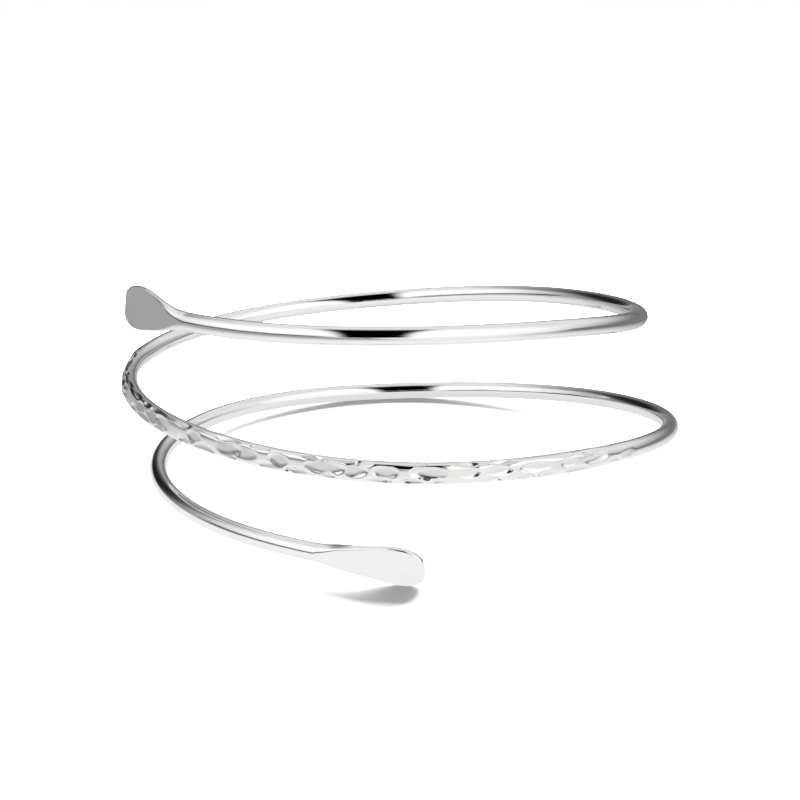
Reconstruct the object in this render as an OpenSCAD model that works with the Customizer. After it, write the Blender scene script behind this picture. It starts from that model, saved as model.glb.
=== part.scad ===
// Open spiral arm cuff, one polished wire of a little over two turns. Its two ends are forged into flat
// paddles, and the middle of its length is hammered. It lies as it rests by itself: on the lower paddle's
// edge at the front, and on the back of its lowest turn. Millimetres. The origin is on that surface, under
// the middle of the coil; +X is to the right, +Y to the back and +Z up.

/* [Coil] */
// Clear width inside the coil, where the arm goes
arm_d = 81.2; // [70:0.2:100]
// Diameter of the plain wire
wire_d = 2.8; // [2.4:0.1:3.4]
// Height that the wire gains in a turn
pitch = 17; // [13:0.5:24]
// Turns of the wire from tip to tip
turns = 2.157; // [2.1:0.001:2.25]
// How far the coil's middle moves to the left in a turn
drift = 4.8; // [0:0.1:6]
// How much the coil's radius shrinks in a turn
taper = 0.7; // [0:0.1:1.5]

/* [Paddle ends] */
// Length of the lower paddle, from its tip to its neck
lower_l = 16; // [12:0.5:22]
// Greatest width of the lower paddle
lower_w = 6.4; // [5:0.1:9]
// Tilt of the lower paddle's face, upwards from upright
lower_tilt = -15; // [-20:1:10]
// Slant of the lower paddle's end, positive where its upper corner reaches further
lower_slant = -7; // [-15:1:15]
// Length of the upper paddle, from its tip to its neck
upper_l = 14; // [12:0.5:22]
// Greatest width of the upper paddle
upper_w = 6.3; // [5:0.1:9]
// Tilt of the upper paddle's face, upwards from upright
upper_tilt = 14; // [-10:1:25]
// Slant of the upper paddle's end, positive where its upper corner reaches further
upper_slant = 10; // [-15:1:15]
// Thickness of both paddles
paddle_t = 1; // [0.8:0.1:1.6]

/* [Hammered stretch] */
// Length of the hammered stretch, at the middle of the wire
hammer_l = 115; // [60:1:160]
// Height of the wire where it is hammered
hammer_w = 3.12; // [2.8:0.02:4]
// Thickness of the wire where it is hammered, from its inner to its outer side
hammer_t = 2.54; // [2.2:0.02:2.8]
// Distance from one dent to the next in a row
dent_gap = 3.8; // [3:0.1:6]
// Depth of a dent
dent_depth = 0.28; // [0.1:0.02:0.4]
// Radius of the hammer's face along the wire
hammer_r = 7; // [5:0.5:12]

/* [Hidden] */

// Sides of the wire, and the greatest distance between its rings where it is plain, forged and hammered
SIDES = 14;
PLAIN_STEP = 2.3;
PADDLE_STEP = 1.1;
HAMMER_STEP = 0.85;
TIP_RINGS = 6;

// Rise of the wire at each eighth of a turn from one station before the lower tip, in pitches. The coil
// leans back, so each turn is low at the back and high at the front.
RISE = [
    -0.44, 0.168, 0.178, 0.15, 0.07, -0.058, 0.17, 0.52, 0.9, 0.95, 1.04,
    1.04, 0.95, 0.98, 1.27, 1.56, 2.06, 2.18, 2.09, 2.1, 2.07
];
STATIONS_PER_TURN = 8;

// Turn at which the lower tip is, counted from the front, and turn at which the coil's middle is above the
// origin
FIRST_TURN = 0.003;
MIDDLE_TURN = 0.96;

// Form of a paddle at each eighth of its length, from one station before its tip: how far it has widened
// from the wire to its greatest width, and how far it has thinned from the wire to its flat
WIDER = 0;
THINNER = 1;
PADDLE = [ // wider, thinner
    [0.96, 1],
    [0.98, 1],
    [1.00, 1],
    [1.04, 1],
    [0.96, 1],
    [0.74, 1],
    [0.56, 0.93],
    [0.33, 0.7],
    [0.05, 0.3],
    [0, 0.05],
    [0, 0],
];
STATIONS_PER_PADDLE = 8;

// Share of a paddle's length over which its end rounds off, and how square that end is
END_SHARE = 0.28;
END_POWER = 2.7;

// The two rows of dents on the outer side
DENT_LEAN = 0;
DENT_START = 1;
DENT_ROWS = [ // degrees upwards from straight out, start in dent gaps
    [42, 0.25],
    [-20, 0.75],
];

// How much the dents differ: in place along the wire (gaps), in lean (degrees) and in depth (shares)
PLACE_WOBBLE = 0.2;
LEAN_WOBBLE = 7;
DEPTH_WOBBLE = 0.3;

// Radius of the hammer's face across the wire, in its radius along it
FACE_SHARE = 0.7;

coil_r = (arm_d + wire_d) / 2;
turn_l = 2 * PI * coil_r;
wire_l = turns * turn_l;
hammer_start = (wire_l - hammer_l) / 2;
hammer_end = hammer_start + hammer_l;
hammer_fade = 2 * wire_d;

// Even cubic spline past a list of values, at the place t, where t = 0 is the list's second value
function value(list, i) = list[max(0, min(len(list) - 1, i))];
function spline(list, t) =
    let (i = floor(t), u = t - i)
    (pow(1 - u, 3) * value(list, i)
        + (3 * pow(u, 3) - 6 * pow(u, 2) + 4) * value(list, i + 1)
        + (-3 * pow(u, 3) + 3 * pow(u, 2) + 3 * u + 1) * value(list, i + 2)
        + pow(u, 3) * value(list, i + 3)) / 6;

function smooth(x) = let (u = max(0, min(1, x))) u * u * (3 - 2 * u);
function unit(v) = v / norm(v);

// Middle of the wire at a distance s along it from the lower tip
function middle(s) =
    let (turn = FIRST_TURN + s / turn_l, r = coil_r - taper * (turn - 1))
    [
        -r * sin(360 * turn) - drift * (turn - MIDDLE_TURN),
        -r * cos(360 * turn),
        wire_d / 2 + pitch * spline(RISE, turn * STATIONS_PER_TURN)
    ];
function along(s) = unit(middle(s + 0.01) - middle(s - 0.01));

// Forged form at a distance s from a tip: half width and half thickness
function paddle_value(s, l, column) = spline([for (row = PADDLE) row[column]], s / l * STATIONS_PER_PADDLE);
function round_end(s, l) =
    s >= END_SHARE * l ? 1 : pow(1 - pow(1 - s / (END_SHARE * l), END_POWER), 1 / END_POWER);
function round_edge(s) = s >= paddle_t / 2 ? 1 : sqrt(1 - pow(1 - 2 * s / paddle_t, 2));
function forged(s, l, w) = [
    round_end(s, l) * (wire_d + (w - wire_d) * paddle_value(s, l, WIDER)) / 2,
    round_edge(s) * (wire_d + (paddle_t - wire_d) * paddle_value(s, l, THINNER)) / 2
];

// Flattened form in the hammered stretch
function hammered_share(s) =
    smooth((s - hammer_start) / hammer_fade) * smooth((hammer_end - s) / hammer_fade);
function flattened(s) =
    let (k = hammered_share(s))
    [wire_d + (hammer_w - wire_d) * k, wire_d + (hammer_t - wire_d) * k] / 2;

function on_lower_paddle(s) = s < lower_l;
function on_upper_paddle(s) = wire_l - s < upper_l;
function half_sizes(s) =
    on_lower_paddle(s) ? forged(s, lower_l, lower_w)
    : on_upper_paddle(s) ? forged(wire_l - s, upper_l, upper_w)
    : flattened(s);
function tilt(s) =
    on_lower_paddle(s) ? lower_tilt * paddle_value(s, lower_l, THINNER)
    : on_upper_paddle(s) ? upper_tilt * paddle_value(wire_l - s, upper_l, THINNER)
    : 0;

// Distance along the wire that the slant of a paddle's end moves a point, per distance across the wire
function slant(s) =
    on_lower_paddle(s) ? -tan(lower_slant) * pow(1 - s / lower_l, 2)
    : on_upper_paddle(s) ? tan(upper_slant) * pow(1 - (wire_l - s) / upper_l, 2)
    : 0;

// The dents: place along the wire, lean and depth of each
function wobble(i, row, kind) = sin(137.5 * i + 71 * row + 113 * kind * (i + 1));
DENTS = [
    for (row = [0:len(DENT_ROWS) - 1])
        for (i = [0:floor(hammer_l / dent_gap) - 1])
            [
                hammer_start + (i + DENT_ROWS[row][DENT_START] + PLACE_WOBBLE * wobble(i, row, 1)) * dent_gap,
                DENT_ROWS[row][DENT_LEAN] + LEAN_WOBBLE * wobble(i, row, 2),
                dent_depth * (1 + DEPTH_WOBBLE * wobble(i, row, 3))
            ]
];

// Presses a point [out, up] of the section at s inwards by each dent that reaches it
function dented(p, s, sizes, near, k = 0) =
    k == len(near) ? p
    : let (
        d = near[k],
        n = [cos(d[1]), sin(d[1])],
        across = p * [-n[1], n[0]],
        face = sizes[1] + (sizes[0] - sizes[1]) * abs(n[1]) - d[2],
        limit = face + pow(s - d[0], 2) / (2 * hammer_r) + pow(across, 2) / (2 * hammer_r * FACE_SHARE),
        push = max(0, p * n - limit)
    )
    dented(p - push * n, s, sizes, near, k + 1);

// One ring of the wire: a round-edged strip as wide and thick as the metal is there
function ring(s) =
    let (
        t = along(s),
        out = unit(cross([0, 0, 1], t)),
        up = cross(t, out),
        g = tilt(s),
        face = cos(g) * out + sin(g) * up,
        side = cos(g) * up - sin(g) * out,
        sizes = half_sizes(s),
        reach = sqrt(2 * hammer_r * dent_depth * (1 + DEPTH_WOBBLE)) + dent_gap / 2,
        near = [for (d = DENTS) if (abs(s - d[0]) < reach) d]
    )
    [
        for (i = [0:SIDES - 1])
            let (
                a = 360 * i / SIDES,
                flank = (sizes[0] - sizes[1]) * sign(round(1000 * sin(a))),
                p = dented([sizes[1] * cos(a), flank + sizes[1] * sin(a)], s, sizes, near)
            )
            middle(s) + p[0] * face + p[1] * side + slant(s) * p[1] * t
    ];

// Places of the rings along the wire, close at the tips, and as near as the forms need elsewhere
function evenly(from, to, step) =
    let (n = ceil((to - from) / step))
    [for (i = [0:n - 1]) from + (to - from) * i / n];
function tip_place(i) = PADDLE_STEP * pow(i / TIP_RINGS, 2);
PLACES = concat(
    [for (i = [1:TIP_RINGS]) tip_place(i)],
    evenly(PADDLE_STEP * 2, lower_l, PADDLE_STEP),
    evenly(lower_l, hammer_start, PLAIN_STEP),
    evenly(hammer_start, hammer_end, HAMMER_STEP),
    evenly(hammer_end, wire_l - upper_l, PLAIN_STEP),
    evenly(wire_l - upper_l, wire_l - PADDLE_STEP, PADDLE_STEP),
    [for (i = [TIP_RINGS:-1:1]) wire_l - tip_place(i)]
);

module spiral_cuff() {
    rings = [for (s = PLACES) ring(s)];
    count = len(rings);
    points = concat([for (r = rings) each r], [middle(0), middle(wire_l)]);
    function at(k, i) = k * SIDES + i % SIDES;
    sides = [
        for (k = [0:count - 2])
            for (i = [0:SIDES - 1])
                each [
                    [at(k, i), at(k + 1, i), at(k + 1, i + 1)],
                    [at(k, i), at(k + 1, i + 1), at(k, i + 1)]
                ]
    ];
    ends = [
        for (i = [0:SIDES - 1])
            each [
                [count * SIDES, at(0, i), at(0, i + 1)],
                [count * SIDES + 1, at(count - 1, i + 1), at(count - 1, i)]
            ]
    ];
    color("silver") polyhedron(points = points, faces = concat(sides, ends), convexity = 6);
}

spiral_cuff();
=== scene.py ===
"""Looks of an open spiral arm cuff: one polished silver wire with forged paddle ends and a hammered stretch.

The wire starts as a straight round bar. Its ends are forged flat, its middle is hammered, and it is then
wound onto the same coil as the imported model. The cuff's sizes, and the camera's place, are in millimetres
until they are scaled to metres. The stage's sizes are in metres. Angles are in degrees, unless a docstring
says radians.
"""

import logging
import math
from dataclasses import dataclass, field
from enum import Enum
from functools import lru_cache

import bmesh
import bpy
from mathutils import Matrix, Vector


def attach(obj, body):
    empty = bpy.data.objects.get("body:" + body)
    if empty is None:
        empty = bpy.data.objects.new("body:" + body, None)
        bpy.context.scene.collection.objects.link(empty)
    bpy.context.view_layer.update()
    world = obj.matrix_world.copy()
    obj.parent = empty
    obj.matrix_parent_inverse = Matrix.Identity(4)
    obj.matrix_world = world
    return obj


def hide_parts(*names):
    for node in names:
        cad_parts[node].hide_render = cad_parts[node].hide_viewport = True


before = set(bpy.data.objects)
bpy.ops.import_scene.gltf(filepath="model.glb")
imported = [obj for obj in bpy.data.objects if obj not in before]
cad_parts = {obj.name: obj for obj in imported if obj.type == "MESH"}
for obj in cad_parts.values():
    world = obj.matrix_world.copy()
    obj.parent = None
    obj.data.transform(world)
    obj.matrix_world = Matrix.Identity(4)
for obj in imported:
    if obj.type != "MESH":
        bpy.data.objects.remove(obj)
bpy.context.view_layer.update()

MM = 0.001
WHITE = (1, 1, 1, 1)

# Power of a round section. A higher power gives a squarer one.
ROUND = 2

# Points closer than this are one point, in metres
MERGE_DISTANCE = 1e-7

# Mesh attributes: each point's place on the straight bar, and how far the hammer pressed it
BAR_ATTRIBUTE = "bar"
PRESSED_ATTRIBUTE = "pressed"

Socket = bpy.types.NodeSocket
Value = Socket | float
log = logging.getLogger("arm_cuff")


def even_spline(values: tuple[float, ...], t: float) -> float:
    """Even cubic spline past a row of values.

    Args:
        values: The values that the spline passes close to.
        t: Place along the row, where 0 is the second value.

    Returns:
        The spline's height at that place.
    """
    i = math.floor(t)
    u = t - i
    near = [values[max(0, min(len(values) - 1, i + k))] for k in range(4)]
    weights = (
        (1 - u) ** 3,
        3 * u**3 - 6 * u**2 + 4,
        -3 * u**3 + 3 * u**2 + 3 * u + 1,
        u**3,
    )
    return sum(w * v for w, v in zip(weights, near)) / 6


def smooth(x: float) -> float:
    """Smooth step from 0 to 1, for x from 0 to 1."""
    u = max(0.0, min(1.0, x))
    return u * u * (3 - 2 * u)


def soft_positive(x: float, softness: float) -> float:
    """The larger of x and 0, with its corner rounded over about the given distance."""
    return (x + math.sqrt(x * x + softness * softness)) / 2


def square_reach(c: float, r: float, power: float) -> float:
    """How far a superellipse reaches in the direction (c, r), where a circle reaches 1."""
    return (abs(c) ** power + abs(r) ** power) ** (-1 / power)


def direction(azimuth: float, elevation: float) -> Vector:
    """A direction in the room. Azimuth 0 is in front and 90 is to the right."""
    a, e = math.radians(azimuth), math.radians(elevation)
    return Vector((math.sin(a) * math.cos(e), -math.cos(a) * math.cos(e), math.sin(e)))


def add_object(name: str, data: bpy.types.ID) -> bpy.types.Object:
    """Puts new data into the scene.

    Args:
        name: Name of the new object.
        data: Its mesh, lamp or camera.

    Returns:
        The object, at the origin.
    """
    made = bpy.data.objects.new(name, data)
    bpy.context.scene.collection.objects.link(made)
    return made


def aim(holder: bpy.types.Object, place: Vector, back: Vector) -> None:
    """Places a lamp or camera and points it.

    Args:
        holder: The lamp or camera.
        place: Where it goes, in metres.
        back: The direction that its back faces.
    """
    holder.location = place
    holder.rotation_mode = "QUATERNION"
    holder.rotation_quaternion = back.to_track_quat("Z", "Y")


@dataclass(frozen=True)
class Coil:
    """The path of the wire: a left-handed spiral that leans back and narrows a little upwards."""

    arm_d: float = 81.2
    wire_d: float = 2.8
    pitch: float = 17
    turns: float = 2.157
    drift: float = 4.8
    taper: float = 0.7
    first_turn: float = 0.003
    middle_turn: float = 0.96
    tangent_step: float = 0.01
    stations_per_turn: int = 8
    rise: tuple[float, ...] = (
        -0.44, 0.168, 0.178, 0.15, 0.07, -0.058, 0.17, 0.52, 0.9, 0.95, 1.04,
        1.04, 0.95, 0.98, 1.27, 1.56, 2.06, 2.18, 2.09, 2.1, 2.07,
    )

    @property
    def radius(self) -> float:
        """Radius of the coil's centre line at its first full turn."""
        return (self.arm_d + self.wire_d) / 2

    @property
    def turn_length(self) -> float:
        """Length of wire in a turn."""
        return math.tau * self.radius

    @property
    def length(self) -> float:
        """Length of the wire from tip to tip."""
        return self.turns * self.turn_length

    @lru_cache(maxsize=None)
    def middle(self, s: float) -> Vector:
        """Middle of the wire.

        Args:
            s: Distance along the wire from the lower tip.

        Returns:
            The point, in the part's frame.
        """
        turn = self.first_turn + s / self.turn_length
        r = self.radius - self.taper * (turn - 1)
        angle = math.tau * turn
        rise = even_spline(self.rise, turn * self.stations_per_turn)
        return Vector((
            -r * math.sin(angle) - self.drift * (turn - self.middle_turn),
            -r * math.cos(angle),
            self.wire_d / 2 + self.pitch * rise,
        ))

    @lru_cache(maxsize=None)
    def axes(self, s: float) -> tuple[Vector, Vector, Vector]:
        """Directions of the wire.

        Args:
            s: Distance along the wire from the lower tip.

        Returns:
            The directions along the wire, straight out of the coil, and up across the wire.
        """
        step = self.tangent_step
        along = (self.middle(s + step) - self.middle(s - step)).normalized()
        out = Vector((0, 0, 1)).cross(along).normalized()
        return along, out, along.cross(out)


@dataclass(frozen=True)
class Paddle:
    """A wire end forged flat, wide near its tip and narrowing to the round wire at its neck."""

    length: float
    width: float
    tilt: float
    slant: float
    wire_d: float
    straight: float = 9.0
    straight_fade: float = 5.0
    thickness: float = 1.0
    stations: int = 8
    end_share: float = 0.28
    end_power: float = 2.7
    wider: tuple[float, ...] = (0.96, 0.98, 1.0, 1.04, 0.96, 0.74, 0.56, 0.33, 0.05, 0, 0)
    thinner: tuple[float, ...] = (1, 1, 1, 1, 1, 1, 0.93, 0.7, 0.3, 0.05, 0)

    @lru_cache(maxsize=None)
    def half_sizes(self, s: float) -> tuple[float, float]:
        """Half width and half thickness.

        Args:
            s: Distance from the tip.

        Returns:
            Half the width across the wire, and half the thickness.
        """
        place = s / self.length * self.stations
        rounding = self.end_share * self.length
        end = 1.0 if s >= rounding else (1 - (1 - s / rounding) ** self.end_power) ** (1 / self.end_power)
        edge = 1.0 if s >= self.thickness / 2 else math.sqrt(1 - (1 - 2 * s / self.thickness) ** 2)
        width = self.wire_d + (self.width - self.wire_d) * even_spline(self.wider, place)
        thickness = self.wire_d + (self.thickness - self.wire_d) * self.flatness(s)
        return end * width / 2, edge * thickness / 2

    def flatness(self, s: float) -> float:
        """How flat the metal is at a distance from the tip, from 0 at the neck to 1."""
        return even_spline(self.thinner, s / self.length * self.stations)

    def straightness(self, s: float) -> float:
        """How little of the coil's curve the metal follows at a distance from the tip, from 1 to 0."""
        return smooth((self.straight + self.straight_fade - s) / self.straight_fade)

    def end_slant(self, s: float) -> float:
        """Distance towards the tip that a point moves, per distance up across the wire."""
        return math.tan(math.radians(self.slant)) * (1 - s / self.length) ** 2


@dataclass(frozen=True)
class Row:
    """A row of hammer marks: where it is on the section, how its marks lean, and their size."""

    angle: float
    lean: float
    start: float
    half_length: float
    half_height: float
    depth: float


@dataclass(frozen=True)
class Dent:
    """The mark of one hammer blow: a shallow dish with a nearly flat bottom and steep sides."""

    place: float
    out: float
    up: float
    lean: float
    turn: float
    half_length: float
    half_height: float
    depth: float


class Uneven(Enum):
    """What differs from one blow to the next."""

    PLACE = 1
    LEAN = 2
    DEPTH = 3
    LENGTH = 4
    HEIGHT = 5
    TURN = 6


@dataclass(frozen=True)
class Hammering:
    """The hammered stretch at the middle of the wire.

    Its outer half is planished square, then dented, and the blows fall more and more from above towards the
    left, where they also thin the wire. Its inner half, on the anvil, stays round.
    """

    wire_length: float
    wire_d: float
    length: float = 115
    fade_share: float = 3.5
    width: float = 3.12
    thickness: float = 2.54
    squareness: float = 4.2
    twist: float = 28
    twist_length: float = 48
    drawn: float = 0.1
    gap: float = 5.2
    rows: tuple[Row, ...] = (
        Row(angle=52, lean=68, start=0.6, half_length=2.3, half_height=0.6, depth=0.13),
        Row(angle=14, lean=6, start=0.15, half_length=2.3, half_height=0.97, depth=0.22),
        Row(angle=-33, lean=0, start=0.65, half_length=1.8, half_height=0.66, depth=0.22),
    )
    place_wobble: float = 0.2
    lean_wobble: float = 8
    turn_wobble: float = 9
    size_wobble: float = 0.32
    blow_angle: float = 137.5
    row_angle: float = 71
    kind_angle: float = 113
    dish_power: int = 3
    dent_reach: float = 1.3
    softness: float = 0.03
    least_push: float = 0.0001

    @property
    def start(self) -> float:
        """Distance from the lower tip to the first blow."""
        return (self.wire_length - self.length) / 2

    @property
    def end(self) -> float:
        """Distance from the lower tip to the last blow."""
        return self.start + self.length

    def share(self, s: float) -> float:
        """How far the wire is flattened by the hammering, from 0 to 1."""
        fade = self.fade_share * self.wire_d
        return smooth((s - self.start) / fade) * smooth((self.end - s) / fade)

    @lru_cache(maxsize=None)
    def half_sizes(self, s: float) -> tuple[float, float]:
        """Half width and half thickness before the blows.

        Args:
            s: Distance along the wire from the lower tip.

        Returns:
            Half the width across the wire, and half the thickness.
        """
        k = self.share(s)
        width = self.wire_d + (self.width - self.wire_d) * k
        thickness = self.wire_d + (self.thickness - self.wire_d) * k
        return width / 2, thickness / 2

    def section_point(self, s: float, angle: float) -> tuple[float, float]:
        """A point on the edge of the wire before the blows.

        Args:
            s: Distance along the wire from the lower tip.
            angle: The point's angle around the wire in radians, from 0 at the outer side.

        Returns:
            Its distances out and up.
        """
        half_width, half_thickness = self.half_sizes(s)
        c, r = math.cos(angle), math.sin(angle)
        power = ROUND + (self.squareness - ROUND) * self.share(s) if c > 0 else ROUND
        reach = square_reach(c, r, power)
        return half_thickness * c * reach, half_width * r * reach

    def wobble(self, i: int, row: int, kind: Uneven) -> float:
        """An uneven value from -1 to 1 for a blow, the same each time."""
        angle = self.blow_angle * i + self.row_angle * row + self.kind_angle * kind.value * (i + 1)
        return math.sin(math.radians(angle))

    def dent(self, row: Row, k: int, i: int) -> Dent:
        """One blow.

        Args:
            row: The row that it is in.
            k: The row's number.
            i: The blow's number in the row.

        Returns:
            The dent that it leaves.
        """
        shift = self.place_wobble * self.wobble(i, k, Uneven.PLACE)
        place = self.start + (i + row.start + shift) * self.gap
        lean = row.lean + self.lean_wobble * self.wobble(i, k, Uneven.LEAN)
        deeper, longer, higher = (
            1 + self.size_wobble * self.wobble(i, k, kind)
            for kind in (Uneven.DEPTH, Uneven.LENGTH, Uneven.HEIGHT)
        )
        depth = row.depth * self.share(place) * deeper
        out, up = self.section_point(place, math.radians(row.angle))
        return Dent(
            place=place,
            out=out - depth * math.cos(math.radians(lean)),
            up=up - depth * math.sin(math.radians(lean)),
            lean=lean,
            turn=self.turn_wobble * self.wobble(i, k, Uneven.TURN),
            half_length=row.half_length * longer,
            half_height=row.half_height * higher,
            depth=depth,
        )

    @lru_cache(maxsize=None)
    def dents(self) -> tuple[Dent, ...]:
        """All the dents, row by row."""
        count = math.floor(self.length / self.gap)
        return tuple(self.dent(row, k, i) for k, row in enumerate(self.rows) for i in range(count))

    @lru_cache(maxsize=None)
    def near(self, s: float) -> tuple[Dent, ...]:
        """The dents that can reach the section at a distance from the lower tip."""
        return tuple(d for d in self.dents() if abs(s - d.place) < self.dent_reach * d.half_length)

    def pressed(self, out: float, up: float, s: float) -> tuple[float, float, float]:
        """Presses a point of the section inwards by each blow that reaches it.

        Args:
            out: The point's distance outwards from the middle of the wire.
            up: Its distance up across the wire.
            s: Its distance along the wire from the lower tip.

        Returns:
            The point's new out and up, and how far it was pressed.
        """
        total = 0.0
        for dent in self.near(s):
            n_out, n_up = math.cos(math.radians(dent.lean)), math.sin(math.radians(dent.lean))
            deep, high, ahead = out - dent.out, up - dent.up, s - dent.place
            across = (high * n_out - deep * n_up) / dent.half_height
            dish = dent.depth * ((ahead / dent.half_length) ** 2 + across**2) ** self.dish_power
            slope = ahead * math.tan(math.radians(dent.turn))
            push = soft_positive(deep * n_out + high * n_up - dish - slope, self.softness)
            if push < self.least_push:
                continue
            out -= push * n_out
            up -= push * n_up
            total += push
        return *self.twisted(out, up, s), total

    def twisted(self, out: float, up: float, s: float) -> tuple[float, float]:
        """Turns a point of the section upwards and draws it in, more and more towards the left.

        Args:
            out: The point's distance outwards from the middle of the wire.
            up: Its distance up across the wire.
            s: Its distance along the wire from the lower tip.

        Returns:
            The point's new out and up.
        """
        leaning = self.share(s) * smooth(1 - (self.end - s) / self.twist_length)
        turned = math.radians(self.twist) * leaning
        c, r = math.cos(turned), math.sin(turned)
        thinned = 1 - self.drawn * leaning
        return (out * c - up * r) * thinned, (out * r + up * c) * thinned


@dataclass(frozen=True)
class Ramp:
    """A smooth change: where it starts and ends, and the levels before and after it."""

    start: float
    end: float
    before: float = 0.0
    after: float = 1.0


class NodeBoard:
    """Short hand for building a node tree."""

    def __init__(self, tree: bpy.types.NodeTree) -> None:
        """Takes the tree to build in."""
        self.tree = tree

    def add(self, kind: str) -> bpy.types.Node:
        """A new node of a kind."""
        return self.tree.nodes.new(kind)

    def kept(self, kind: str) -> bpy.types.Node:
        """The tree's own node of a kind, or a new one."""
        found = [n for n in self.tree.nodes if n.bl_idname == kind]
        return found[0] if found else self.add(kind)

    def link(self, source: Socket, target: Socket) -> None:
        """Joins two sockets."""
        self.tree.links.new(source, target)

    def feed(self, value: Value, target: Socket) -> None:
        """Links a socket to a target, or sets the target to a number.

        Args:
            value: The number, or the socket that gives it.
            target: The socket that takes it.
        """
        if isinstance(value, Socket):
            self.link(value, target)
        else:
            target.default_value = value

    def math(self, operation: str, a: Value, b: Value = 0.0) -> Socket:
        """The result of a math node.

        Args:
            operation: Name of the operation.
            a: First value, or the socket that gives it.
            b: Second value, or the socket that gives it.

        Returns:
            The result's socket.
        """
        node = self.add("ShaderNodeMath")
        node.operation = operation
        self.feed(a, node.inputs[0])
        self.feed(b, node.inputs[1])
        return node.outputs[0]

    def compare(self, operation: str, vector: Socket, fixed: tuple[float, float, float]) -> Socket:
        """The number that a vector node gives for a vector and a fixed one.

        Args:
            operation: Name of the operation, such as DISTANCE.
            vector: The socket that gives the vector.
            fixed: The fixed vector.

        Returns:
            The number's socket.
        """
        node = self.add("ShaderNodeVectorMath")
        node.operation = operation
        self.link(vector, node.inputs[0])
        node.inputs[1].default_value = fixed
        return node.outputs["Value"]

    def ramp(self, value: Socket, ramp: Ramp) -> Socket:
        """A value that changes smoothly between two levels.

        Args:
            value: The socket that is read.
            ramp: Where the change is, and the levels.

        Returns:
            The result's socket.
        """
        node = self.add("ShaderNodeMapRange")
        node.interpolation_type = "SMOOTHSTEP"
        self.link(value, node.inputs["Value"])
        node.inputs["From Min"].default_value = ramp.start
        node.inputs["From Max"].default_value = ramp.end
        node.inputs["To Min"].default_value = ramp.before
        node.inputs["To Max"].default_value = ramp.after
        return node.outputs["Result"]

    def blend(self, share: Socket, a: Value, b: Value) -> Socket:
        """The blend of two values.

        Args:
            share: The socket that gives the share of b.
            a: First value, or the socket that gives it.
            b: Second value, or the socket that gives it.

        Returns:
            The result's socket.
        """
        node = self.add("ShaderNodeMix")
        node.data_type = "FLOAT"
        self.link(share, node.inputs["Factor"])
        self.feed(a, node.inputs["A"])
        self.feed(b, node.inputs["B"])
        return node.outputs["Result"]

    def either(self, share: Socket, a: Socket, b: Socket) -> Socket:
        """The blend of two shaders.

        Args:
            share: The socket that gives the share of b.
            a: The first shader's socket.
            b: The second shader's socket.

        Returns:
            The result's socket.
        """
        node = self.add("ShaderNodeMixShader")
        for k, source in enumerate((share, a, b)):
            self.link(source, node.inputs[k])
        return node.outputs["Shader"]

    def darker(self, value: Socket, share: Socket) -> Socket:
        """A value with a share of it taken away."""
        return self.math("MULTIPLY", value, self.math("SUBTRACT", 1.0, share))

    def split(self, vector: Socket) -> tuple[Socket, Socket, Socket]:
        """The three parts of a vector.

        Args:
            vector: The socket that gives the vector.

        Returns:
            The sockets of its X, Y and Z.
        """
        node = self.add("ShaderNodeSeparateXYZ")
        self.link(vector, node.inputs["Vector"])
        return node.outputs["X"], node.outputs["Y"], node.outputs["Z"]

    def noise(self, place: Socket, scale: tuple[float, float, float], detail: float) -> Socket:
        """A noise value.

        Args:
            place: The socket that gives the place.
            scale: Scale in each direction, per unit of the place.
            detail: Number of finer layers.

        Returns:
            The noise's socket.
        """
        mapping = self.add("ShaderNodeMapping")
        self.link(place, mapping.inputs["Vector"])
        mapping.inputs["Scale"].default_value = scale
        noise = self.add("ShaderNodeTexNoise")
        noise.inputs["Scale"].default_value = 1.0
        noise.inputs["Detail"].default_value = detail
        self.link(mapping.outputs["Vector"], noise.inputs["Vector"])
        return noise.outputs["Fac"]


@dataclass(frozen=True)
class Shade:
    """A dark part of the room around a direction.

    The room is at the given level up to the inner angle from there, and as before from the outer angle on.
    """

    azimuth: float
    elevation: float
    inner: float
    outer: float
    level: float

    def over(self, board: NodeBoard, sky: Socket, towards: Socket) -> Socket:
        """Darkens the room.

        Args:
            board: The world's nodes.
            sky: The room's brightness.
            towards: The direction that is looked in.

        Returns:
            The room's brightness with this part dark.
        """
        nearness = board.compare("DOT_PRODUCT", towards, tuple(direction(self.azimuth, self.elevation)))
        edges = math.cos(math.radians(self.outer)), math.cos(math.radians(self.inner))
        return board.math("MULTIPLY", sky, board.ramp(nearness, Ramp(*edges, 1.0, self.level)))


@dataclass(frozen=True)
class Shadow:
    """A dark shape in the room, from a ramp over each part of the direction."""

    right: Ramp
    up: Ramp
    back: Ramp

    def over(self, board: NodeBoard, sky: Socket, x: Socket, y: Socket, z: Socket) -> Socket:
        """Darkens the room.

        Args:
            board: The world's nodes.
            sky: The room's brightness.
            x: How far to the right is looked.
            y: How far to the back.
            z: How far up.

        Returns:
            The room's brightness with this shape dark.
        """
        shape = board.math("MULTIPLY", board.ramp(x, self.right), board.ramp(z, self.up))
        shape = board.math("MULTIPLY", shape, board.ramp(y, self.back))
        return board.darker(sky, shape)


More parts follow.
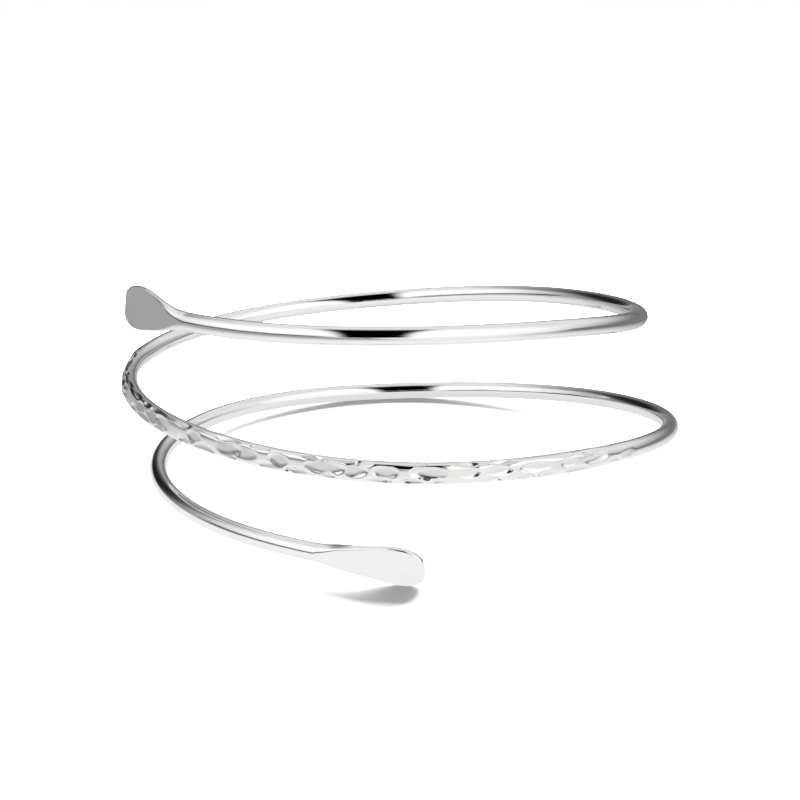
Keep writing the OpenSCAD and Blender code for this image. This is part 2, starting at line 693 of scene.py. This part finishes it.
@dataclass(frozen=True)
class Studio:
    """What the polished metal mirrors, and the lamp that casts the shadows.

    The metal mirrors broad soft light overhead and at both sides of the front, the dark shape of whoever
    takes the picture between them, a low dark strip along the front on the left, which is painted shade for
    the floor's shadow in front of the lower wire, and a dim room behind, darkest at its left.
    """

    low: Ramp = Ramp(-0.65, 0.7, 1.06, 0.16)
    high: Ramp = Ramp(-0.3, 0.3, 1.06, 0.78)
    rise: Ramp = Ramp(0.05, 0.6)
    rise_to_right: float = 0.15

    # A low dark strip along the front on the left: painted shade, which stands in for the shadow on the floor
    # in front of the lower wire as the metal mirrors it
    strip: Shadow = Shadow(
        right=Ramp(-0.4, -0.15, 1.0, 0.0), up=Ramp(0.1, 0.33, 0.87, 0.0), back=Ramp(0.0, 0.3, 1.0, 0.0)
    )

    # The darkest corner of the room, behind on the left
    shades: tuple[Shade, ...] = (
        Shade(azimuth=-150, elevation=15, inner=0, outer=30.7, level=0.07),
        Shade(azimuth=-135, elevation=33, inner=8, outer=26, level=0.35),
    )

    # Whoever takes the picture, leaning over the top. Its right is the distance from its middle.
    body: Shadow = Shadow(
        right=Ramp(0.17, 0.29, 1.0, 0.0), up=Ramp(-0.03, 0.08), back=Ramp(-0.08, 0.34, 1.0, 0.0)
    )
    body_middle: float = 0.04

    backdrop: float = 1.0
    lamp_power: float = 68.0
    lamp_size: float = 0.85
    lamp_distance: float = 0.75
    lamp_azimuth: float = 178.0
    lamp_elevation: float = 29.0

    def sky(self, board: NodeBoard) -> Socket:
        """The room that the metal mirrors.

        Args:
            board: The world's nodes.

        Returns:
            The socket of the room's brightness.
        """
        towards = board.add("ShaderNodeTexCoord").outputs["Generated"]
        x, y, z = board.split(towards)

        # Bright in front, and dimmer towards the back, most of all near the horizon
        rise = board.math("ADD", z, board.math("MULTIPLY", x, self.rise_to_right))
        sky = board.blend(board.ramp(rise, self.rise), board.ramp(y, self.low), board.ramp(y, self.high))

        # Painted shade: the strip stands in for the mirrored floor shadow in front of the lower wire
        sky = self.strip.over(board, sky, x, y, z)
        for shade in self.shades:
            sky = shade.over(board, sky, towards)
        aside = board.math("ABSOLUTE", board.math("SUBTRACT", x, self.body_middle))
        return self.body.over(board, sky, aside, y, z)

    def build(self) -> None:
        """Builds the world, plain where it is looked at directly, and the lamp."""
        world = bpy.data.worlds.new("studio")
        bpy.context.scene.world = world
        world.use_nodes = True
        board = NodeBoard(world.node_tree)
        directly = board.add("ShaderNodeLightPath").outputs["Is Camera Ray"]
        background = board.kept("ShaderNodeBackground")
        background.inputs["Color"].default_value = WHITE
        board.link(board.blend(directly, self.sky(board), self.backdrop), background.inputs["Strength"])
        board.link(background.outputs["Background"], board.kept("ShaderNodeOutputWorld").inputs["Surface"])

        lamp = bpy.data.lights.new("soft_light", "AREA")
        lamp.shape = "DISK"
        lamp.size = self.lamp_size
        lamp.energy = self.lamp_power
        holder = add_object("soft_light", lamp)
        away = direction(self.lamp_azimuth, self.lamp_elevation)
        aim(holder, away * self.lamp_distance, away)
        holder.visible_glossy = False
        holder.visible_camera = False


@dataclass(frozen=True)
class PolishedSilver:
    """Hand-polished silver: a mirror with faint wipe marks along the wire.

    It is a little tarnished in places, and a little duller in the dents. The scales of the marks and of the
    tarnish are along the bar and across it, per millimetre.
    """

    name: str = "polished_silver"
    color: tuple[float, float, float, float] = (0.965, 0.962, 0.955, 1)
    tarnish: tuple[float, float, float, float] = (0.86, 0.85, 0.83, 1)
    mark_scale: tuple[float, float, float] = (0.35, 9.0, 9.0)
    mark_detail: float = 6.0
    mark_height: float = 0.0000026
    cloud_scale: tuple[float, float, float] = (0.12, 0.7, 0.7)
    cloud_detail: float = 3.0
    clouded: Ramp = Ramp(0.5, 0.75, 0.0, 0.35)
    dent_tarnish: Ramp = Ramp(0.02, 0.3, 0.0, 0.25)
    roughness: Ramp = Ramp(0.35, 0.8, 0.035, 0.11)
    dent_roughness: Ramp = Ramp(0.01, 0.12, 0.0, 0.14)

    def material(self) -> bpy.types.Material:
        """Builds the material.

        Returns:
            The material, for a wire with both mesh attributes.
        """
        material = bpy.data.materials.new(self.name)
        material.use_nodes = True
        board = NodeBoard(material.node_tree)
        shader = board.kept("ShaderNodeBsdfPrincipled")
        shader.inputs["Metallic"].default_value = 1.0

        bar = board.add("ShaderNodeAttribute")
        bar.attribute_name = BAR_ATTRIBUTE
        pressed = board.add("ShaderNodeAttribute")
        pressed.attribute_name = PRESSED_ATTRIBUTE
        depth = pressed.outputs["Fac"]
        marks = board.noise(bar.outputs["Vector"], self.mark_scale, self.mark_detail)
        clouds = board.noise(bar.outputs["Vector"], self.cloud_scale, self.cloud_detail)

        worn = board.math("ADD", board.ramp(clouds, self.clouded), board.ramp(depth, self.dent_tarnish))
        mix = board.add("ShaderNodeMix")
        mix.data_type = "RGBA"
        board.link(worn, mix.inputs["Factor"])
        mix.inputs["A"].default_value = self.color
        mix.inputs["B"].default_value = self.tarnish
        board.link(mix.outputs["Result"], shader.inputs["Base Color"])

        rough = board.math("ADD", board.ramp(marks, self.roughness), board.ramp(depth, self.dent_roughness))
        board.link(rough, shader.inputs["Roughness"])

        bump = board.add("ShaderNodeBump")
        bump.inputs["Distance"].default_value = self.mark_height
        bump.inputs["Strength"].default_value = 1.0
        board.link(marks, bump.inputs["Height"])
        board.link(bump.outputs["Normal"], shader.inputs["Normal"])
        return material


class Stretch(Enum):
    """The stretches of the wire, and the greatest distance between its rings in each."""

    PLAIN = 0.95
    PADDLE = 0.2
    HAMMERED = 0.125


@dataclass
class ArmCuff:
    """The whole cuff, one wire."""

    coil: Coil = field(default_factory=Coil)
    sides: int = 56
    crowd: float = 1.6
    flat_angle: float = 28
    edge_squareness: float = 4.5
    least_thickness: float = 0.001
    silver: PolishedSilver = field(default_factory=PolishedSilver)

    def __post_init__(self) -> None:
        """Sets up the forged ends and the hammered stretch."""
        wire_d = self.coil.wire_d
        self.lower = Paddle(length=16, width=6.4, tilt=-15, slant=-7, wire_d=wire_d)
        self.upper = Paddle(length=14, width=6.3, tilt=14, slant=10, wire_d=wire_d)
        self.hammering = Hammering(self.coil.length, wire_d)

    def ring_places(self) -> list[float]:
        """Distances of the rings from the lower tip, as close as each stretch needs.

        Returns:
            The distances, from 0 to the wire's length.
        """
        stretches = (
            (self.lower.length, Stretch.PADDLE),
            (self.hammering.start, Stretch.PLAIN),
            (self.hammering.end, Stretch.HAMMERED),
            (self.coil.length - self.upper.length, Stretch.PLAIN),
            (self.coil.length, Stretch.PADDLE),
        )
        places = [0.0]
        for end, stretch in stretches:
            start = places[-1]
            steps = math.ceil((end - start) / stretch.value)
            places += [start + (end - start) * (k + 1) / steps for k in range(steps)]
        return [self.crowded(s) for s in places]

    def crowded(self, s: float) -> float:
        """Moves a ring towards a near tip, so that the tips' round edges have enough rings.

        Args:
            s: The ring's distance from the lower tip.

        Returns:
            Its new distance.
        """
        back = self.coil.length - s
        if s < self.crowd:
            return s * s / self.crowd
        if back < self.crowd:
            return self.coil.length - back * back / self.crowd
        return s

    def straight_bar(self, rings: int) -> bmesh.types.BMesh:
        """A straight round bar of radius 1, along X from 0 to 1.

        Args:
            rings: Number of rings along it, with the two ends.

        Returns:
            The bar, with closed ends.
        """
        bar = bmesh.new()
        lying = Matrix.Translation((0.5, 0, 0)) @ Matrix.Rotation(math.pi / 2, 4, "Y")
        bmesh.ops.create_cone(
            bar, cap_ends=True, segments=self.sides, radius1=1, radius2=1, depth=1, matrix=lying
        )
        lengthwise = [e for e in bar.edges if abs(e.verts[0].co.x - e.verts[1].co.x) > 0.5]
        bmesh.ops.subdivide_edges(bar, edges=lengthwise, cuts=rings - 2)
        return bar

    def strip_point(self, half_width: float, half_thickness: float, angle: float) -> tuple[float, float]:
        """A point on the edge of a strip: the flatter the strip, the squarer its edges.

        Args:
            half_width: Half the strip's width.
            half_thickness: Half its thickness.
            angle: The point's angle on the round bar in radians, from 0 at the outer side.

        Returns:
            Its distances out and up.
        """
        flank = half_width - half_thickness
        flatness = max(0.0, min(1.0, flank / max(half_thickness, self.least_thickness)))
        flat = math.radians(self.flat_angle) * flatness
        from_face = abs(math.asin(math.sin(angle)))
        side, rise = math.copysign(1.0, math.cos(angle)), math.copysign(1.0, math.sin(angle))
        if from_face < flat:
            return side * half_thickness, rise * flank * (1 - (1 - from_face / flat) ** 2)
        turn = (from_face - flat) / (math.pi / 2 - flat) * math.pi / 2
        c, r = abs(math.cos(turn)), abs(math.sin(turn))
        reach = square_reach(c, r, ROUND + (self.edge_squareness - ROUND) * flatness)
        return side * half_thickness * c * reach, rise * (flank + half_thickness * r * reach)

    def forged_point(self, s: float, angle: float) -> tuple[float, float, float, float]:
        """A point of the forged and hammered wire while it is still straight.

        Args:
            s: Distance along the wire from the lower tip.
            angle: The point's angle on the round bar in radians, from 0 at the outer side.

        Returns:
            Its distances along, out and up, and how far a hammer has pressed it.
        """
        back = max(0.0, self.coil.length - s)
        if s < self.lower.length:
            out, up = self.strip_point(*self.lower.half_sizes(s), angle)
            return s - self.lower.end_slant(s) * up, out, up, 0.0
        if back < self.upper.length:
            out, up = self.strip_point(*self.upper.half_sizes(back), angle)
            return s + self.upper.end_slant(back) * up, out, up, 0.0
        out, up = self.hammering.section_point(s, angle)
        return s, *self.hammering.pressed(out, up, s)

    def coiled_point(self, s: float, ahead: float, out: float, up: float) -> Vector:
        """A point of the finished wire.

        Args:
            s: Distance of its ring along the wire from the lower tip.
            ahead: How far it is ahead of its ring.
            out: Its distance outwards from the middle of the wire.
            up: Its distance up across the wire.

        Returns:
            The point, in the part's frame.
        """
        middle, place, tilt = self.coil.middle(s), s, 0.0
        back = self.coil.length - s
        for paddle, from_tip, halfway in (
            (self.lower, s, self.lower.straight / 2),
            (self.upper, back, self.coil.length - self.upper.straight / 2),
        ):
            if from_tip < paddle.length:
                tilt = math.radians(paddle.tilt) * paddle.flatness(from_tip)
                straight = paddle.straightness(from_tip)
                place += (halfway - s) * straight
                chord = self.coil.middle(halfway) + self.coil.axes(halfway)[0] * (s - halfway)
                middle = middle.lerp(chord, straight)
        along, outwards, upwards = self.coil.axes(place)
        face = outwards * math.cos(tilt) + upwards * math.sin(tilt)
        side = upwards * math.cos(tilt) - outwards * math.sin(tilt)
        return middle + along * ahead + face * out + side * up

    def build(self) -> bpy.types.Object:
        """Makes the bar, forges, hammers and coils it.

        Returns:
            The finished piece, dressed.
        """
        places = self.ring_places()
        bar = self.straight_bar(len(places))
        straight = bar.verts.layers.float_vector.new(BAR_ATTRIBUTE)
        depth = bar.verts.layers.float.new(PRESSED_ATTRIBUTE)
        for v in bar.verts:
            s = places[round(v.co.x * (len(places) - 1))]
            place, out, up, pressed = self.forged_point(s, math.atan2(v.co.z, v.co.y))
            v[straight] = Vector((place, out, up))
            v[depth] = pressed
            v.co = self.coiled_point(s, place - s, out, up) * MM
        bmesh.ops.remove_doubles(bar, verts=bar.verts[:], dist=MERGE_DISTANCE)
        bmesh.ops.recalc_face_normals(bar, faces=bar.faces[:])
        for face in bar.faces:
            face.smooth = True
        mesh = bpy.data.meshes.new("coiled_wire")
        bar.to_mesh(mesh)
        bar.free()
        mesh.materials.append(self.silver.material())
        return add_object("coiled_wire", mesh)


@dataclass(frozen=True)
class Floor:
    """A plain pale sheet that the cuff lies on.

    Polished metal mirrors a painted glow in its place, bright near the cuff and in front on the right, and
    dim further off, as a lit table in a dim room would look, with no shadows in it. Far from the cuff it
    fades into the backdrop.
    """

    half_size: float = 3.0
    pale: float = 0.6
    roughness: float = 0.9
    shine: float = 0.1
    centre: tuple[float, float, float] = (0, -0.03, 0)
    fade: Ramp = Ramp(0.3, 0.5)
    near: float = 0.91
    away: Ramp = Ramp(0.03, 0.16)
    far: Ramp = Ramp(-0.1, 0.1, 0.37, 0.19)
    front: Ramp = Ramp(-0.12, -0.02, 1.0, 0.0)
    front_right: Ramp = Ramp(-0.01, 0.05)

    def seen(self, board: NodeBoard, distance: Socket) -> Socket:
        """What the camera sees.

        Args:
            board: The material's nodes.
            distance: The distance from the cuff.

        Returns:
            The socket of the pale sheet, white like the backdrop far from the cuff.
        """
        paper = board.kept("ShaderNodeBsdfPrincipled")
        paper.inputs["Base Color"].default_value = (self.pale, self.pale, self.pale, 1)
        paper.inputs["Roughness"].default_value = self.roughness
        paper.inputs["Specular IOR Level"].default_value = self.shine
        white = board.add("ShaderNodeEmission")
        white.inputs["Color"].default_value = WHITE
        faded = board.ramp(distance, self.fade)
        return board.either(faded, paper.outputs["BSDF"], white.outputs["Emission"])

    def mirrored(self, board: NodeBoard, place: Socket, distance: Socket) -> Socket:
        """What the metal mirrors: painted light in place of the lit sheet.

        Args:
            board: The material's nodes.
            place: The place on the floor.
            distance: Its distance from the cuff.

        Returns:
            The socket of the painted glow that stands for the lit table.
        """
        x, y, _ = board.split(place)
        front = board.math("MULTIPLY", board.ramp(y, self.front), board.ramp(x, self.front_right))
        far = board.blend(front, board.ramp(x, self.far), self.near)
        # Painted light: an emission that the metal mirrors, bright near the cuff and dimmer further off, in
        # place of the sheet's own lit shading
        glow = board.add("ShaderNodeEmission")
        painted_glow = board.blend(board.ramp(distance, self.away), self.near, far)
        board.link(painted_glow, glow.inputs["Strength"])
        return glow.outputs["Emission"]

    def material(self) -> bpy.types.Material:
        """Builds the material.

        Returns:
            The material, in the floor's own coordinates.
        """
        material = bpy.data.materials.new("pale_sheet")
        material.use_nodes = True
        board = NodeBoard(material.node_tree)
        place = board.add("ShaderNodeTexCoord").outputs["Object"]
        distance = board.compare("DISTANCE", place, self.centre)
        # The camera sees the lit sheet, and the metal mirrors the painted glow instead
        glossy = board.add("ShaderNodeLightPath").outputs["Is Glossy Ray"]
        surface = board.either(glossy, self.seen(board, distance), self.mirrored(board, place, distance))
        board.link(surface, board.kept("ShaderNodeOutputMaterial").inputs["Surface"])
        return material

    def build(self) -> None:
        """Builds the floor."""
        sheet = bmesh.new()
        bmesh.ops.create_grid(sheet, x_segments=1, y_segments=1, size=self.half_size)
        mesh = bpy.data.meshes.new("floor")
        sheet.to_mesh(mesh)
        sheet.free()
        mesh.materials.append(self.material())
        floor = add_object("floor", mesh)


@dataclass(frozen=True)
class PhotoCamera:
    """The camera, at the photograph's angle above the floor."""

    target: tuple[float, float, float] = (-0.12, 0, 14.17)
    elevation: float = 19
    distance: float = 380
    lens: float = 106.45
    sensor_width: float = 36
    clip_start: float = 0.01
    clip_end: float = 20

    def build(self) -> None:
        """Builds the camera and makes it the scene's."""
        data = bpy.data.cameras.new("camera")
        data.lens = self.lens
        data.sensor_width = self.sensor_width
        data.clip_start, data.clip_end = self.clip_start, self.clip_end
        camera = add_object("camera", data)
        back = direction(0, self.elevation)
        aim(camera, (Vector(self.target) + back * self.distance) * MM, back)
        bpy.context.scene.camera = camera


def main() -> None:
    """Builds the camera, the stage and the cuff, and reports the cuff, which is the one piece."""
    logging.basicConfig(level=logging.INFO, format="%(message)s")
    PhotoCamera().build()
    Floor().build()
    Studio().build()
    bpy.context.scene.view_settings.view_transform = "Standard"
    cuff = ArmCuff().build()
    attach(cuff, "root")
    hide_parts("spiral_cuff")
    log.info("%s: %d faces", cuff.name, len(cuff.data.polygons))


if __name__ == "__main__":
    main()
